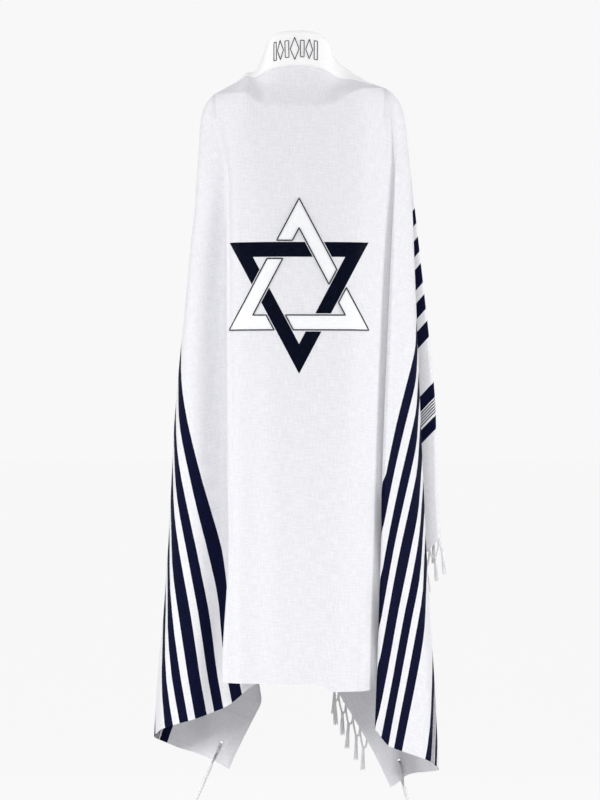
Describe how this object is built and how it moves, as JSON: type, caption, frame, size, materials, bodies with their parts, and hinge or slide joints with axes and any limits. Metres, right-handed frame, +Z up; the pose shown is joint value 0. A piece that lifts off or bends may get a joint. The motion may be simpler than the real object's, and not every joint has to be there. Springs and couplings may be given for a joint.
{
  "type": "tallit prayer shawl",
  "caption": "Rectangular white wool prayer shawl draped open over the shoulders, with neckband, back star, corner patches, fringed ends and knotted corner tassels.",
  "frame": {"origin": "base of the neck, where the wearer's shoulders and nape hold the shawl", "axes": "+Z up, +Y the way the wearer faces, so the back with the star faces -Y; +X is to the right as seen from behind"},
  "size_m": [0.6555, 0.404, 1.9093],
  "materials": {
    "wool": "fine plain weave, matt",
    "satin": "satin",
    "navy_embroidery": "satin stitch",
    "white_thread": "twisted wool thread"
  },
  "bodies": {
    "root": {"cloth": "wool", "atarah": "satin", "star_navy_top_left": "navy_embroidery", "star_navy_top_right": "navy_embroidery", "star_navy_bottom": "navy_embroidery", "star_white_top": "satin", "star_white_bottom_left": "satin", "star_white_bottom_right": "satin", "corner_patch_back_right": "wool", "corner_patch_back_left": "wool", "corner_patch_front_right": "wool", "corner_patch_front_left": "wool", "tzitzit_back_right": "white_thread", "tzitzit_back_left": "white_thread", "tzitzit_front_right": "white_thread", "tzitzit_front_left": "white_thread", "fringe_right": "white_thread", "fringe_left": "white_thread"}
  },
  "joints": []
}
